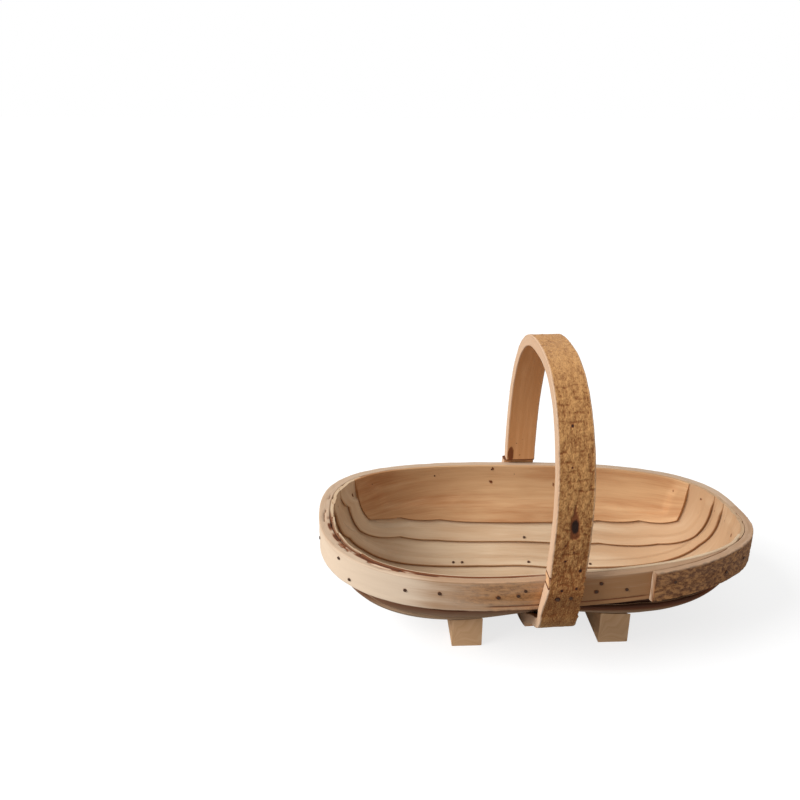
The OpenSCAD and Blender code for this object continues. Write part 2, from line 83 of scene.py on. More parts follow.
def noise(u, v, seed, octaves=3):
    """Smooth noise from -1 to 1: random lattices, eased between their points and summed.

    Each octave is 2.03 times finer than the one before and half as strong."""
    rng = np.random.default_rng(seed)
    total, size = 0.0, 1.0
    for octave in range(octaves):
        lattice = rng.uniform(-1, 1, (256, 256))
        a, b = np.floor(u).astype(int), np.floor(v).astype(int)
        f, g = u - a, v - b
        f, g = f * f * (3 - 2 * f), g * g * (3 - 2 * g)
        corner = lambda i, j: lattice[(a + i) % 256, (b + j) % 256]
        low = corner(0, 0) * (1 - f) + corner(1, 0) * f
        high = corner(0, 1) * (1 - f) + corner(1, 1) * f
        total = total + size * (low * (1 - g) + high * g)
        u, v, size = u * 2.03, v * 2.03, size * 0.5
    return total / 1.6


def ease(x):
    """0 below 0, 1 above 1 and 3x^2 - 2x^3 between."""
    x = np.clip(x, 0, 1)
    return x * x * (3 - 2 * x)


def rounded(across, along, corner=4):
    """A rectangular loop as shares a, b of its two sides and a unit push na, nb at its corners."""
    a, b, na, nb = [], [], [], []
    turns = [(0, 0, 180), (1, 0, 270), (1, 1, 0), (0, 1, 90)]
    for k, (ca, cb, start) in enumerate(turns):
        t = np.radians(start + 90 * np.linspace(0, 1, corner + 1))
        a.append(np.full(corner + 1, float(ca)))
        b.append(np.full(corner + 1, float(cb)))
        na.append(np.cos(t))
        nb.append(np.sin(t))
        n = (across, along)[k % 2]
        f = np.linspace(0, 1, n + 1)[1:-1]
        nxt = turns[(k + 1) % 4]
        a.append(ca + (nxt[0] - ca) * f)
        b.append(cb + (nxt[1] - cb) * f)
        na.append(np.full(n - 1, np.cos(t[-1])))
        nb.append(np.full(n - 1, np.sin(t[-1])))
    return [np.concatenate(x) for x in (a, b, na, nb)]


def lengths(points, axis):
    """Distance travelled along an axis of a grid of points."""
    step = np.linalg.norm(np.diff(points, axis=axis), axis=-1)
    pad = [(0, 0)] * step.ndim
    pad[axis] = (1, 0)
    return np.pad(np.cumsum(step, axis=axis), pad)


def normals(points):
    """Unit cross product of the two tangents of a grid that closes along its second axis."""
    along = np.gradient(points, axis=0)
    ring = np.roll(points, -1, 1) - np.roll(points, 1, 1)
    n = np.cross(ring, along)
    return n / np.maximum(np.linalg.norm(n, axis=-1, keepdims=True), 1e-9)


def strip(name, points, marks, nodes):
    """Mesh of a strip: row i of the grid is a closed section, and the ends are closed by quads.

    UVMap holds metres along the strip and round its section, and marks are float attributes."""
    m, n = points.shape[:2]
    along = lengths(points.mean(1), 0)
    closed = np.concatenate([points, points[:, :1]], 1)
    ring = lengths(closed[m // 2], 0)
    i, j = np.meshgrid(np.arange(m - 1), np.arange(n), indexing="ij")
    i, j = i.ravel(), j.ravel()
    k = (j + 1) % n
    quads = np.stack([i * n + j, i * n + k, (i + 1) * n + k, (i + 1) * n + j], -1)
    uv_i, uv_j = np.stack([i, i, i + 1, i + 1], -1), np.stack([j, j + 1, j + 1, j], -1)
    uv = np.stack([along[uv_i], ring[uv_j]], -1)
    a = np.arange(n // 2 - 1)
    cap = np.stack([a, n - 1 - a, n - 2 - a, a + 1], -1)
    caps = np.concatenate([cap, cap[:, ::-1] + (m - 1) * n])
    cap_uv = np.stack([np.repeat(along[[0, -1]], len(cap))[:, None] + 0 * caps, ring[caps % n]], -1)
    faces = np.concatenate([quads, caps])
    flat = points.reshape(-1, 3) * 0.001
    p0, p1, p2 = flat[quads[:, 0]], flat[quads[:, 1]], flat[quads[:, 2]]
    if np.einsum("ij,ij->i", p0, np.cross(p1, p2)).sum() < 0:
        faces = faces[:, ::-1]
        uv, cap_uv = uv[:, ::-1], cap_uv[:, ::-1]
    mesh = bpy.data.meshes.new(name)
    mesh.vertices.add(len(flat))
    mesh.vertices.foreach_set("co", flat.ravel())
    mesh.loops.add(faces.size)
    mesh.loops.foreach_set("vertex_index", faces.astype(np.int32).ravel())
    mesh.polygons.add(len(faces))
    mesh.polygons.foreach_set("loop_start", np.arange(0, faces.size, 4, dtype=np.int32))
    mesh.update(calc_edges=True)
    layer = mesh.uv_layers.new(name="UVMap")
    both = np.concatenate([uv, cap_uv]).reshape(-1, 2) * 0.001
    layer.data.foreach_set("uv", both.astype(np.float32).ravel())
    for mark, value in marks.items():
        spread = np.broadcast_to(value, (m, n)).astype(np.float32).ravel()
        mesh.attributes.new(mark, "FLOAT", "POINT").data.foreach_set("value", spread)
    mesh.validate()
    mesh.polygons.foreach_set("use_smooth", np.ones(len(mesh.polygons), bool))
    mesh.set_sharp_from_angle(angle=math.radians(42))
    piece = bpy.data.objects.new(name, mesh)
    bpy.context.scene.collection.objects.link(piece)
    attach(piece, "root")
    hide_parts(*nodes)
    return piece


class Val:
    """A shader socket with arithmetic, so that node maths reads as ordinary sums."""

    def __init__(self, tree, socket):
        self.tree, self.socket = tree, socket

    def node(self, kind, inputs, output=0, **settings):
        """A node of any kind, its settings, and its inputs by index or name."""
        n = self.tree.nodes.new(kind)
        for key, value in settings.items():
            setattr(n, key, value)
        for key, value in inputs.items():
            if isinstance(value, Val):
                self.tree.links.new(value.socket, n.inputs[key])
            else:
                n.inputs[key].default_value = value
        return Val(self.tree, n.outputs[output])

    def math(self, operation, *values):
        return self.node("ShaderNodeMath", dict(enumerate(values)), operation=operation)

    def __add__(self, other):
        return self.math("ADD", self, other)

    def __sub__(self, other):
        return self.math("SUBTRACT", self, other)

    def __mul__(self, other):
        return self.math("MULTIPLY", self, other)

    def step(self, low, high):
        """0 at low and 1 at high, eased between."""
        return self.node(
            "ShaderNodeMapRange", {0: self, 1: low, 2: high}, interpolation_type="SMOOTHSTEP"
        )

    def mix(self, first, second):
        """Colour from first at 0 to second at 1."""
        value = lambda c: c if isinstance(c, Val) else (*c, 1)
        inputs = {0: self, 6: value(first), 7: value(second)}
        return self.node("ShaderNodeMix", inputs, 2, data_type="RGBA")

    def grain(self, x, y, detail=3.0):
        """Noise from 0 to 1 over the vector, x and y times finer on its two axes."""
        finer = self.node("ShaderNodeVectorMath", {0: self, 1: (x, y, 1)}, operation="MULTIPLY")
        inputs = {"Vector": finer, "Scale": 1.0, "Detail": detail}
        return self.node("ShaderNodeTexNoise", inputs)


def srgb(r, g, b):
    """Linear colour of an 8-bit display colour."""
    c = np.array([r, g, b]) / 255
    return tuple(np.where(c > 0.04045, ((c + 0.055) / 1.055) ** 2.4, c / 12.92))


# Colours of mark dark: real stains, and the painted shade that some pieces lay in that mark.
BROWN_STAIN_AND_SHADE, BLACK_STAIN_AND_SHADE = (122, 68, 36), (38, 20, 12)


def wood(name, pale, deep, edge, torn=None, bumps=0.3):
    """Wood with long grain, pale to deep, along UVMap's first axis, changed by a piece's marks.

    Mark tone shifts it to deep. Mark saw lays the torn face's two colours, chosen by mark relief,
    which some pieces raise as painted light. Mark edge lays the cut edge's colour, on the boards
    partly painted shade in the seams, and mark dark a brown that ends near black, for real stains
    and for painted shade."""
    material = bpy.data.materials.new(name)
    material.use_nodes = True
    tree = material.node_tree
    shader = tree.nodes["Principled BSDF"]
    start = Val(tree, None)
    uv = start.node("ShaderNodeUVMap", {}, uv_map="UVMap")
    mark = lambda key: start.node("ShaderNodeAttribute", {}, 2, attribute_name=key)
    fibre, streak, cloud = uv.grain(60, 1500), uv.grain(9, 190), uv.grain(11, 34, 2.0)
    level = streak * 0.5 + fibre * 0.28 + cloud * 0.45 + mark("tone") - 0.12
    body = level.step(0.15, 0.85).mix(srgb(*pale), srgb(*deep))
    height = fibre * 0.35 + streak * 0.5
    if torn:
        crumb = uv.grain(700, 1100)
        flecks = mark("relief") * 0.42 + crumb * 0.75 + 0.12
        flecks = flecks.step(0.2, 0.85).mix(srgb(*torn[0]), srgb(*torn[1]))
        body = mark("saw").mix(body, flecks)
        height = height + crumb * mark("saw") * 1.4
    body = mark("edge").mix(body, (fibre * 0.5 + streak * 0.5).mix(srgb(*edge), srgb(*deep)))
    # Mark dark paints real stains and painted shade alike.
    dark = mark("dark")
    body = dark.step(0.0, 0.55).mix(body, srgb(*BROWN_STAIN_AND_SHADE))
    body = dark.step(0.4, 1.0).mix(body, srgb(*BLACK_STAIN_AND_SHADE))
    bump = start.node("ShaderNodeBump", {"Strength": bumps, "Distance": 0.0005, "Height": height})
    tree.links.new(body.socket, shader.inputs["Base Color"])
    tree.links.new(bump.socket, shader.inputs["Normal"])
    shader.inputs["Roughness"].default_value = 0.65
    shader.inputs["Specular IOR Level"].default_value = 0.2
    return material


def round_rim(angle):
    """Shares of the plan's half-axes at an angle: |cos|^(2/n) and |sin|^(2/n) with their signs."""
    c, s = np.cos(np.radians(angle)), np.sin(np.radians(angle))
    n = square(c)
    return np.sign(c) * np.abs(c) ** (2 / n), np.sign(s) * np.abs(s) ** (2 / n)


def rim_at(angle, depth, drop):
    """Rim point: the outline shrunk by depth, more so on the left, and drop below the mouth."""
    p, q = round_rim(angle)
    end_depth = depth * np.where(p < 0, 1 + LEFT_EXTRA / RIM_THICK, 1.0)
    return place((RIM_LONG - end_depth) * p, (RIM_WIDE - depth) * q, rim_z(p, q) - drop)


# Nails through the rim, as THETA and the share of the rim's height below its top.
RIM_NAILS = [(214, 0.77), (236, 0.47), (246, 0.43), (260, 0.52), (265.3, 0.33), (264, 0.49)]
RIM_NAILS += [(275, 0.26), (274.3, 0.53), (280, 0.55), (325, 0.49), (291, 0.41), (312.5, 0.64)]
RIM_NAILS += [(35, 0.43), (82.8, 0.7), (94, 0.13), (94.5, 0.62), (110.5, 0.34), (137.5, 0.37)]
RIM_NAILS += [(153, 0.54), (168.5, 0.51), (187, 0.53), (208, 0.25), (350, 0.61), (359.8, 0.56)]
RIM_NAILS += [(4.5, 0.44), (17.5, 0.41)]


def stain(points, size=1.7):
    """1 on the axis of each nail through the rim and 0 from about `size` mm off it."""
    total = np.zeros(points.shape[:-1])
    for k, (nail_theta, share) in enumerate(RIM_NAILS):
        near, far = rim_at(np.array(float(nail_theta)), np.array([-5.0, 12.0]), share * RIM_HIGH)
        axis = (far - near) / np.linalg.norm(far - near)
        off = points - near
        along = off @ axis
        other_side = np.abs(along - 9) > 12
        off = np.linalg.norm(off - along[..., None] * axis, axis=-1) + 9 * other_side
        total = np.maximum(total, ease((size * (0.8 + 0.12 * (k % 4)) - off) / 0.9))
    return total


def band(value, low, high, soft=1.0):
    """1 from low to high, eased to 0 over `soft` beyond them."""
    return ease((value - low + soft) / soft) * ease((high + soft - value) / soft)


turn = np.linspace(0, 360 + LAP_ANGLE, 1100)[:, None]
over, under = turn / LAP_ANGLE, (turn - 360) / LAP_ANGLE
taper = RIM_THICK - 0.6
outer = np.where(over < 1, -(LAP_END + FIT) * (1 - over), taper * np.clip(under, 0, 1))
inner = np.where(over < 1, taper * over - FIT, RIM_THICK)
a, b, na, nb = rounded(6, 24)
r = np.minimum(0.7, 0.4 * (inner - outer))
depth = (outer + r) * (1 - a) + (inner - r) * a + r * na
drop = r * (1 - b) + (RIM_HIGH - r) * b + r * nb
angle = LAP_START + turn
theta = np.mod(angle, 360)
s = angle * 2.4
face, top, base = (a == 0) * 1.0, (b == 0) * 1.0, (b == 1) * 1.0
right_part = band(turn, *TORN_TURN, 6)
patch = ease((turn - 319) / 16) * ease((346 - turn) / 1.5) * (over > 1)
beside = band(turn, *PLAIN_TURN, 1)
left_part = band(theta, *PALE_THETA, 12)
relief = noise(s / 2.6, drop / 1.3, 3, 4)
coarse = noise(s / 24, drop / 3.2, 7)
torn_amount = face * np.clip(0.92 * right_part + 0.62 * patch * ease(0.8 + coarse), 0, 1)
depth = depth - torn_amount * 0.34 * relief - face * 0.12 * coarse
crack = band(drop, 20.6, 21.6, 0.5) * band(turn, *CRACK_TURN, 3) * face
depth = depth + 0.8 * crack
wander = 0.74 + 0.36 * noise(s / 26, 0 * s, 8)
splits = top * left_part * ease((0.13 - np.abs(a - wander)) / 0.08)
splits = splits * ease((noise(s / 14, 0 * s + 3, 9, 3) + 0.12) / 0.1)
splits = splits * band(theta, *SPLIT_THETA, 6)
drop = drop + 0.9 * splits + top * 0.22 * noise(s / 9, a * 3, 4)
drop = drop - 0.3 * base * noise(s / 13, 3 * a, 5)
points = rim_at(angle, depth, drop)
near_top = top * band(theta, *NEAR_THETA, 20)
far_top = top * band(theta, *FAR_THETA, 20)
# Painted shade along the top of the rim's inner face on the front left, where it meets the boards.
gap_shade = ((a > 0.8) * (drop < 5)) * band(theta, *GAP_THETA, 8) * ease(0.7 + noise(s / 11, 0 * s, 13))
marks = {
    "tone": 0.16 * noise(s / 60, drop / 7, 5)
    - 0.3 * left_part
    + 0.3 * beside
    + 0.1 * patch
    + 0.3 * near_top * (1 + 0.5 * noise(s / 12, a * 3, 12))
    - 0.3 * far_top,
    "dark": np.clip(
        0.75 * stain(points) * face
        + 0.5 * crack
        + 0.34 * splits
        + 0.7 * gap_shade
        # Painted shade on the outer half of the strip's start, dimming its lit step.
        + 0.22 * (turn < 0.35) * (a < 0.5),
        0,
        1,
    ),
    "edge": np.clip(0.35 * top + 0.3 * far_top + ease((0.9 - drop) / 0.8) * 0.2, 0, 1),
    "saw": torn_amount,
    # Its last term pales the torn face at the strip's right end: painted light against its shade.
    "relief": relief + 0.4 * patch + 0.5 * ease((theta - 330) / 15) * right_part,
}
rim = strip("rim", points, marks, ["rim_hoop"])
RIM_TORN = [(96, 52, 22), (190, 134, 82)]
rim_wood = wood("rim_wood", (228, 204, 178), (168, 122, 82), (222, 202, 178), RIM_TORN)
rim.data.materials.append(rim_wood)

# Handle hoop: one strip, 25 mm wide and 9 to 10.8 mm thick over the arch. It starts under the
# hull, comes up outside the near side of the rim, and ends under the hull over its own start.
# Shoulders on the inside of both legs stand just above the rim, and its tails are thinner.
HANDLE_X, HANDLE_TOP, SPRING, ARCH_SQUARE = 7.35, 234.7, 83.0, 2.49
HANDLE_WIDE, LEG_WIDE, TAIL_WIDE, LEG_EXTRA = 25.0, 26.5, 22.0, 2.0
TOP_THICK, LEG_THICK, TAIL_THICK, OUTER_TAIL = 9.0, 10.8, 7.4, 4.2
LEG_LEAN, TAIL_LEAN, LEAN_FROM = 6.0, 7.8, 175.0
HULL_BOTTOM, SHOULDER, LEG_SWELL = 14.0, 90.5, 3.4
PINCH, PINCH_REACH = 0.08, 45.0
RIM_BOTTOM = RIM_TOP - RIM_HIGH
INNER_END, OUTER_END, LEAVE = 20, 31, 45
# Dark spots as X, height and size: outside on the near leg, and inside on the far one.
NEAR_SPOTS = [(1.2, 106.4, 0.9), (-0.4, 85, 1.1), (10.1, 86.3, 1.0), (-2.8, 78, 1.9)]
NEAR_SPOTS += [(6.7, 79, 1.1), (5.2, 193.5, 0.9), (3.9, 170, 0.6), (7.0, 113, 0.6)]
NEAR_SPOTS += [(12.5, 99, 1.2), (0.8, 118, 0.6)]
FAR_SPOTS = [(6.7, 96, 0.9), (-2.0, 97, 3.2), (3.0, 108, 0.8), (8, 112, 0.7)]


def half_long(p):
    """Half of the length inside the rim, less on the left, where the rim is thicker."""
    return RIM_LONG - RIM_THICK - np.where(p < 0, LEFT_EXTRA, 0.0)


def hull(p, q, depth):
    """Hull point at shares p, q of the half-axes, a depth inside the rim's inner face.

    With r = (|p|^n + |q|^n)^(1/n), its depth under the mouth is the full depth times
    g = (1 - r^i)^(1/j). Powers i and j run from 4.6 and 2.8 at the ends to 2 and 2.2 at the sides.
    The handle squeezes it by up to 8 %."""
    r = np.clip((np.abs(p) ** square(p) + np.abs(q) ** square(p)) ** (1 / square(p)), 1e-4, 1)
    wide, tall = half_long(p) - depth, RIM_WIDE - RIM_THICK - depth
    w = np.clip((p / r) ** 2, 0, 1)
    g = (1 - r ** (2 + 2.6 * w)) ** (1 / (2.2 + 0.6 * w))
    top = rim_z(p / r, q / r)
    squeeze = 1 - PINCH * np.exp(-((p * wide / PINCH_REACH) ** 2)) * g
    return place(p * wide, q * tall * squeeze, top - (top - HULL_BOTTOM - depth) * g)


def fall(z, high, low):
    """0 above `high` and 1 below `low`, straight between."""
    return np.clip((high - z) / (high - low), 0, 1)


def side_x(z, side, right):
    """Left or right edge of the strip at a height: both lean left toward the hull's bottom."""
    under = fall(z, RIM_BOTTOM, HULL_BOTTOM)
    near_lean = LEG_LEAN * fall(z, LEAN_FROM, RIM_BOTTOM) ** 1.7 + (TAIL_LEAN - LEG_LEAN) * under
    lean = np.where(side < 0, near_lean, TAIL_LEAN * fall(z, RIM_TOP, HULL_BOTTOM))
    half = (HANDLE_WIDE + (LEG_WIDE - HANDLE_WIDE) * fall(z, HANDLE_TOP, LEAN_FROM)) / 2
    half = half - (LEG_WIDE - TAIL_WIDE) / 2 * under
    ledge = SHOULDER + FIT
    extra = LEG_EXTRA * np.where(side < 0, fall(z, ledge, RIM_BOTTOM), fall(z, ledge, SHOULDER))
    return HANDLE_X - lean + np.where(right, half, -half - extra * (1 - under))


def tail(side, t, off, right):
    """Inner edge of a tail lying off the hull at angle t up its side, as Y and Z."""
    q = side * np.sin(np.radians(t))
    z = hull(0 * t, q, 0 * t)[:, 2]
    x = side_x(z, side, right)
    return hull(x / (half_long(x) + off), q, -off)[:, 1:] - [0, SKEW * HANDLE_X]


def lower_half(side, end):
    """Inner edges, outward direction and thickness of one tail, its bend and its leg."""
    t = np.arange(-end, LEAVE + 0.1, 1.0)
    ride = ease((INNER_END + 12 - t) / 9) if side > 0 else 0 * t
    f = np.linspace(0, 1, 50)[1:, None]
    z = np.append(np.arange(RIM_BOTTOM - 0.8, SHOULDER - 0.2, 0.7), SHOULDER)
    y_leg = side * (RIM_WIDE + FIT)
    leg = np.stack([np.full(len(z), y_leg), z], -1)
    edges = []
    for right in (False, True):
        low = tail(side, t, FIT + (FIT + TAIL_THICK) * ride, right)
        rise = (low[-1] - low[-2]) / np.linalg.norm(low[-1] - low[-2])
        head = np.array([y_leg, RIM_BOTTOM - 1.5])
        b = [low[-1], low[-1] + 24 * rise, head - [0, 12], head]
        weights = [(1 - f) ** 3, 3 * f * (1 - f) ** 2, 3 * f * f * (1 - f), f**3]
        edges.append(np.concatenate([low, sum(w * c for w, c in zip(weights, b)), leg]))
    tangent = np.gradient((edges[0] + edges[1]) / 2, axis=0)
    tangent /= np.linalg.norm(tangent, axis=1, keepdims=True)
    thick = np.full(len(tangent), TAIL_THICK)
    thick[: len(t)] += (OUTER_TAIL - TAIL_THICK) * ride
    return edges[0], edges[1], side * np.stack([tangent[:, 1], -tangent[:, 0]], -1), thick


t = np.radians(np.linspace(0.5, 179.5, 4000))
c, s = np.cos(t), np.sin(t)
arch = np.stack(
    [
        -(RIM_WIDE + FIT + TAIL_THICK) * np.sign(c) * np.abs(c) ** (2 / ARCH_SQUARE),
        SPRING + (HANDLE_TOP - SPRING) * s ** (2 / ARCH_SQUARE),
    ],
    -1,
)
arch = arch[arch[:, 1] > SHOULDER + 0.3]
travel = lengths(arch, 0)
even = np.linspace(0, travel[-1], 660)
arch = np.stack([np.interp(even, travel, arch[:, 0]), np.interp(even, travel, arch[:, 1])], -1)
tangent = np.gradient(arch, axis=0)
tangent /= np.linalg.norm(tangent, axis=1, keepdims=True)
arch_out = np.stack([-tangent[:, 1], tangent[:, 0]], -1)
arch_thick = TOP_THICK + (LEG_THICK - TOP_THICK) * fall(arch[:, 1], HANDLE_TOP, SHOULDER)
arch_inner = arch - arch_thick[:, None] * arch_out
near, far = lower_half(-1, INNER_END), [x[::-1] for x in lower_half(1, OUTER_END)]
parts = [near, (arch_inner, arch_inner, arch_out, arch_thick), far]
left, right, out, thick = [np.concatenate([part[k] for part in parts]) for k in range(4)]
side = np.ones(len(left))
side[: len(near[0]) + 330] = -1
side = side[:, None]
middle = (left + right) / 2
height = middle[:, 1:]
a, b, na, nb = rounded(9, 28)
r = 0.6
s = lengths(middle + out * thick[:, None] / 2, 0)[:, None] + 0 * b
x_left, x_right = side_x(height, side, False), side_x(height, side, True)
x = (x_left + r) * (1 - b) + (x_right - r) * b + r * nb
outside, inside = (a == 1) * 1.0 + 0 * x, (a == 0) * 1.0 + 0 * x
edge_left, edge_right = (b == 0) * 1.0 + 0 * x, (b == 1) * 1.0 + 0 * x
bark = outside * ease((height - 26) / 10)
smooth_top = ease((height - 205) / 30)
relief = 0.8 * noise(s / 2.6, x / 1.3, 11, 3) + 0.35 * noise(s / 9, x / 2.4, 12)
chatter = s / 6.5 + 0.5 * noise(s / 30, x / 14, 27)
chatter = ease((0.16 - np.abs(chatter - np.round(chatter))) / 0.1)
chatter = chatter * ease(2 * noise(s / 7, x / 9, 28))
relief = (relief - 0.6 * chatter) * (1 - 0.45 * ease((94 - height) / 14) * (side < 0))
ragged = ease((100 - height) / 8) * ease((height - 55) / 6) * (side < 0)
jag = ragged * (noise(s / 3.1, 0 * s, 16, 3) * 1.5 - 0.7)
x = x + edge_right * jag * a + 0.12 * (edge_left - edge_right) * noise(s / 8, 5 * a, 15)
swell = LEG_SWELL * np.exp(-(((height - 82) / 12) ** 2)) * (side < 0)
lift = r * (1 - a) + (thick[:, None] + swell - r) * a + r * na
lift = lift + bark * (0.46 - 0.24 * smooth_top) * relief
knot_wide = 3.7 * (1 - 0.85 * ease((height - 131) / 15)) * ease((height - 120) / 5) + 0.01
knot_off = np.abs(x - 6.6 - 0.7 * noise(s / 5, 0 * x, 18)) / knot_wide
knot = outside * (side < 0) * ease((1.15 - knot_off) / 0.5) * band(height, 123, 146, 1)
lift = lift - 0.5 * knot
y = left[:, :1] * (1 - b) + right[:, :1] * b + out[:, :1] * lift
z = left[:, 1:] * (1 - b) + right[:, 1:] * b + out[:, 1:] * lift
points = place(x, y, z)
heart = 1 - np.hypot((x - 6.9) / 2.6, (height - 131.3) / 4.8)
dark = 0.5 * knot + 0.5 * knot * ease(heart / 0.5 + 0.5)
for spot_x, spot_z, size in NEAR_SPOTS:
    off = np.hypot(x - spot_x, height - spot_z)
    dark = np.maximum(dark, outside * (side < 0) * ease((size + 0.5 - off) / 0.8))
for spot_x, spot_z, size in FAR_SPOTS:
    tall, depth_of_brown = (0.35, 0.5) if size > 3 else (1, 0.8)
    off = np.hypot(x - spot_x, (height - spot_z) * tall)
    dark = np.maximum(dark, inside * (side > 0) * depth_of_brown * ease((size - off) / 0.9))
# Painted shadow line under the far leg's shoulder, on its inside face and edges.
ledge = (side > 0) * band(height, 90.45, 91.3, 0.3) * (inside + edge_left + edge_right > 0)
# Painted shadow lines at the top and foot of the near leg's step, on its left edge.
nick_shade = edge_left * (side < 0) * (band(height, 93.6, 94.4, 0.4) + band(height, 86.6, 87.2, 0.4))
dark = np.clip(np.maximum(dark, 0.7 * ledge + 0.75 * nick_shade), 0, 1)
cut = np.clip(edge_left + 0.5 * edge_right * (1 - ragged), 0, 1)
marks = {
    "tone": 0.14 * noise(s / 50, x / 7, 14) + 0.22 * inside + 0.18 * outside * (1 - bark),
    "dark": dark,
    "edge": 0.95 * cut * (1 - 0.8 * band(height, 87.5, 93.4, 0.4) * (side < 0)),
    "saw": np.clip(bark * (1 - 0.25 * smooth_top), 0, 1),
    "relief": 0.75 * relief
    + 0.22 * smooth_top
    + 0.12
    - 0.36 * ease((165 - height) / 85)
    # The last term pales the torn face toward the tails' bottom: painted light against the shade
    # there.
    + 1.0 * ease((64 - height) / 20),
}
handle = strip("handle", points, marks, ["handle_hoop"])
HANDLE_TORN = [(122, 70, 30), (206, 154, 96)]
handle_wood = wood(
    "handle_wood", (238, 192, 144), (204, 148, 98), (220, 200, 178), HANDLE_TORN, bumps=0.7
)
handle.data.materials.append(handle_wood)

# Hull boards: seven cleft boards 2.5 mm thick, following the hull from end to end. The lower edge
# of each lies inside the next lower one, and their ends stand level with the rim's top edge.
BOARD, BOARD_GAP, BOARD_LAP, BOARD_BEND = 2.5, 0.5, 7.0, 7.0
HALF_WIDE = RIM_WIDE - RIM_THICK
HULL_DEEP, BOARD_ROUND, SIDE_REACH = 75.0, 0.5, 75.0
SIDE_FOOT, SIDE_HEAD, LEFT_DRAW = (-0.945, 0.942), (-0.895, 0.925), 0.034
# Each seam: shares of the board's half-length, the seam's distance from the centre line there as
# shares of that at mid length, and that distance.
SEAMS = {
    "a": (
        [-1, -0.993, -0.945, -0.84, -0.6, 0, 0.6, 0.825, 0.942, 0.992, 1],
        [0.716, 0.794, 0.797, 0.95, 1.02, 1, 1, 0.908, 0.688, 0.73, 0.695],
        70.5,
    ),
    "b": (
        [-1, -0.993, -0.937, -0.755, -0.52, 0, 0.5, 0.795, 0.937, 1],
        [0.587, 0.761, 0.771, 1.018, 1.051, 1, 0.949, 0.716, 0.45, 0.404],
        54.5,
    ),
    "c": (
        [-1, -0.992, -0.952, -0.88, -0.57, -0.24, 0, 0.8, 0.933, 0.992, 1],
        [0.364, 0.564, 0.982, 1.091, 1.113, 1.105, 1, 0.553, 0.455, 0.236, 0.218],
        27.5,
    ),
}
# The boards' edge colours are dark: their cut edges, partly painted shade in the seams.
board_wood = wood("board_wood", (226, 202, 170), (194, 158, 122), (146, 86, 48))
warm_wood = wood("warm_wood", (216, 176, 132), (168, 108, 62), (140, 80, 44))


def seam(key, s):
    """Distance of a seam from the centre line: listed shares of that at mid length."""
    places, shares, middle = SEAMS[key]
    return middle * np.interp(s, places, shares)


def end_share(s, q):
    """Share p of the half-length at a share s of the board's length there."""
    return s * np.clip(1 - np.abs(q) ** square(s), 0, None) ** (1 / square(s))


def settle(p, q):
    """1 over most of a board, falling to 0.3 toward the mouth, where the ends are pressed flat.

    It falls over the last 13 mm below the mouth, by the hull's own height formula."""
    r = np.clip((np.abs(p) ** square(p) + np.abs(q) ** square(p)) ** (1 / square(p)), 1e-4, 1)
    w = np.clip((p / r) ** 2, 0, 1)
    drop = HULL_DEEP * (1 - r ** (2 + 2.6 * w)) ** (1 / (2.2 + 0.6 * w))
    return 1 - 0.7 * ease((13 - drop) / 10)


def lay_board(node, seed, side, p, q, inset, drift, paint):
    """A board over shares p, q of the hull, set in by inset where it lies over the next one.

    Its tone wanders along it and shifts by drift to the right, its lower edge is dark, partly as
    painted shade in the seam, and nails leave stains. Its outside is darkened with painted shade,
    most of all as a painted shadow close below the rim on the front, and its top where it meets the
    rim in front."""
    thick = BOARD_ROUND * (1 - a) + (BOARD - BOARD_ROUND) * a + BOARD_ROUND * na
    depth = FIT + inset * settle(p, q) * (BOARD + BOARD_GAP) + thick
    points = hull(p, side * q, depth)
    s = lengths(points.mean(1), 0)[:, None]
    x, y, z = points[..., 0], points[..., 1], points[..., 2]
    # Painted shade: outer faces are darkened, most of all as a painted shadow close below the rim
    # on the front right, and the top ends where they meet the rim on the front left.
    outside = (a < 0.95) * (z < 72)
    under = outside * (y < 0) * ease((z - 34) / 16) * (0.25 + 0.5 * band(x, 30, 110, 30))
    half_mouth = RIM_LONG - RIM_THICK
    mouth = rim_z(np.clip(x / half_mouth, -1, 1), np.clip(y / (HALF_WIDE - 0.1), -1, 1)) - 2.4
    crevice_shade = (a < 0.75) * ease((z - mouth) / 1.2) * ease(-y / 12) * ease((30 - x) / 60)
    # The lower edge's outer half, where it lies on the next board, takes the dark edge colour: the
    # cut edge's own colour with painted shade in the seam.
    lower = ease((-nb - 0.6) / 0.3) * (b == 0) * (1 - ease((a - 0.2) / 0.4))
    marks = {
        "tone": 0.2 * noise(s / 70 + seed, (b + 0 * p) * 3, seed) + drift * ease((x - 30) / 80),
        "dark": 0.8 * stain(points, 1.5) + 0.22 * outside + 0.8 * under + 0.5 * crevice_shade,
        "edge": lower * (node != "centre_board"),
    }
    marks["dark"] = np.clip(marks["dark"], 0, 1)
    piece = strip(node + "_wood", points, marks, [node])
    piece.data.materials.append(paint)


span = np.sin(np.radians(np.linspace(-90, 90, 300)))[:, None]
a, b, na, nb = rounded(4, 34, 3)
boards = [("centre_board", 1, None, "c"), ("lower_board_front", -1, "c", "b")]
boards += [("lower_board_back", 1, "c", "b"), ("middle_board_front", -1, "b", "a")]
boards += [("middle_board_back", 1, "b", "a")]
for seed, (node, side, low_key, high_key) in enumerate(boards):
    high = seam(high_key, span) + BOARD_LAP
    low = seam(low_key, span) if low_key else -high
    y = (low + BOARD_ROUND) * (1 - b) + (high - BOARD_ROUND) * b + BOARD_ROUND * nb
    inset = ease(1 - (y - low - BOARD_LAP - 0.5) / BOARD_BEND) if low_key else 0 * y
    q = y / HALF_WIDE
    lay_board(node, 20 + seed, side, end_share(span, q), q, inset, 0.26, board_wood)

